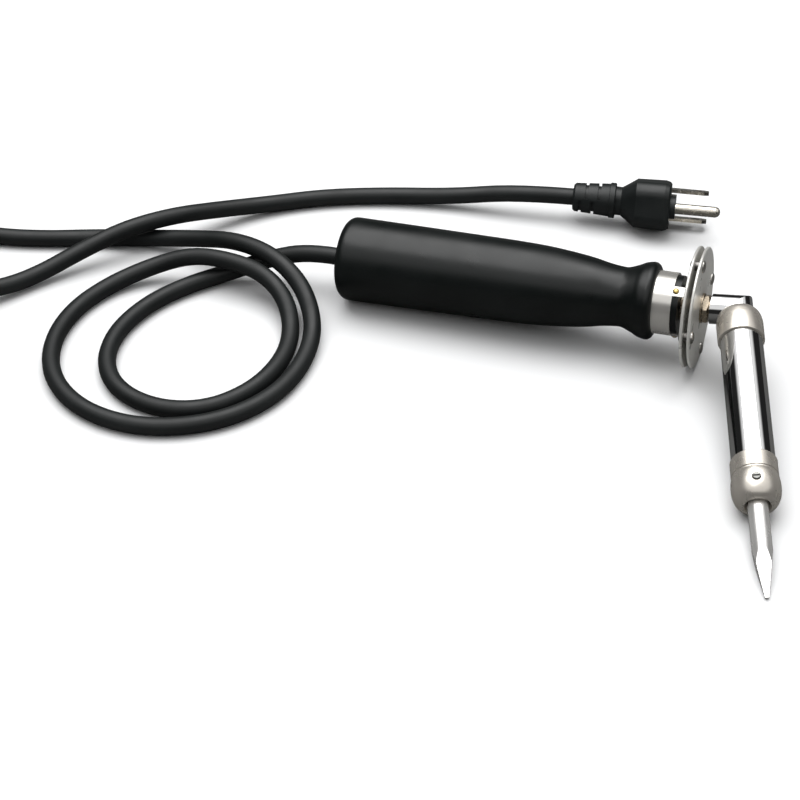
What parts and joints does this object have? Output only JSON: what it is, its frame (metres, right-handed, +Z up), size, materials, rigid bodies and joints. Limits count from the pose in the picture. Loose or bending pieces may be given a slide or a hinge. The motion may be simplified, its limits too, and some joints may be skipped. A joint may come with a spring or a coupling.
{
  "type": "angled soldering iron",
  "caption": "Soldering iron with a black grip, twin heat baffles, an angled chrome barrel with a plug tip, and a three-pin mains cord.",
  "frame": {"origin": "centre of the iron's footprint, on the surface it rests on, measured without the cord and its plug", "axes": "+X along the handle towards the barrel, +Y away from the barrel's side, +Z up; the iron lies on its handle's rear edge, its rear baffle's rim and its nose"},
  "size_m": [0.4598, 0.2352, 0.0512],
  "materials": {
    "handle_black": "moulded satin phenolic",
    "bushing_rubber": "matte",
    "jacket_rubber": "matte",
    "plug_black": "moulded, fine texture",
    "zinc_steel": "zinc plated, drawn",
    "plated_nickel": "polished nickel plate",
    "mirror_chrome": "mirror chrome",
    "warm_nickel": "nickel plate, slightly warmed by heat",
    "tip_plate": "iron plate, satin",
    "brass": "plain",
    "nickel_brass": "nickel plated blades",
    "copper": "tinned copper crimps",
    "ceramic_white": "unglazed",
    "mica": "thin mica sheet",
    "resistance_wire": "oxidised wire",
    "wire_black": "insulation",
    "wire_white": "insulation",
    "wire_green": "insulation",
    "glass_braid": "woven glass sleeve"
  },
  "bodies": {
    "handle_body": {"handle": "handle_black", "cord_bushing": "bushing_rubber", "cord_inner_end": "jacket_rubber", "cord_clamp_upper": "zinc_steel", "cord_clamp_lower": "zinc_steel", "cord_clamp_screws": "zinc_steel", "live_conductor": "wire_black", "neutral_conductor": "wire_white", "ground_conductor": "wire_green", "crimp_connectors": "copper", "ground_lug": "copper", "stem_nut": "zinc_steel", "stem_washer": "zinc_steel", "stem_tube": "zinc_steel", "ferrule": "plated_nickel", "ferrule_pins": "brass", "baffle_nut": "zinc_steel", "rear_baffle": "plated_nickel", "front_baffle": "plated_nickel", "baffle_spacers": "zinc_steel", "baffle_rivets": "plated_nickel", "lock_washer": "zinc_steel", "cord_lead_out": "jacket_rubber", "cord_coil": "jacket_rubber", "cord_lead_back": "jacket_rubber", "cord_plug_end": "jacket_rubber", "plug_relief": "plug_black", "plug_body": "plug_black", "plug_blades": "nickel_brass", "ground_pin": "nickel_brass"},
    "head": {"elbow": "mirror_chrome", "barrel_cap": "warm_nickel", "barrel_tube": "mirror_chrome", "nose_collar": "warm_nickel", "heater_sleeve": "zinc_steel", "mica_wrap": "mica", "heater_winding": "resistance_wire", "outer_insulator": "ceramic_white", "rear_insulator": "ceramic_white", "heater_leads": "glass_braid"},
    "jam_nut": {"jam_nut": "zinc_steel"},
    "tip": {"soldering_tip": "tip_plate"},
    "set_screw": {"set_screw": "zinc_steel"}
  },
  "joints": [
    {"name": "head_swivel", "type": "hinge", "parent": "handle_body", "child": "head", "pos_m": [0.06711, 0.05524, 0.02648], "axis": [0.9987, 0, 0.0508], "range_deg": [-90, 90]},
    {"name": "jam_nut_turn", "type": "hinge", "parent": "handle_body", "child": "jam_nut", "pos_m": [0.05383, 0.05524, 0.02581], "axis": [0.9987, 0, 0.0508], "range_deg": [0, 270]},
    {"name": "tip_slide", "type": "slide", "parent": "head", "child": "tip", "axis": [0.2749, -0.9449, -0.1777], "range_m": [0, 0.04]},
    {"name": "set_screw_travel", "type": "slide", "parent": "head", "child": "set_screw", "axis": [-0.0498, -0.1985, 0.9788], "range_m": [0, 0.003]}
  ]
}
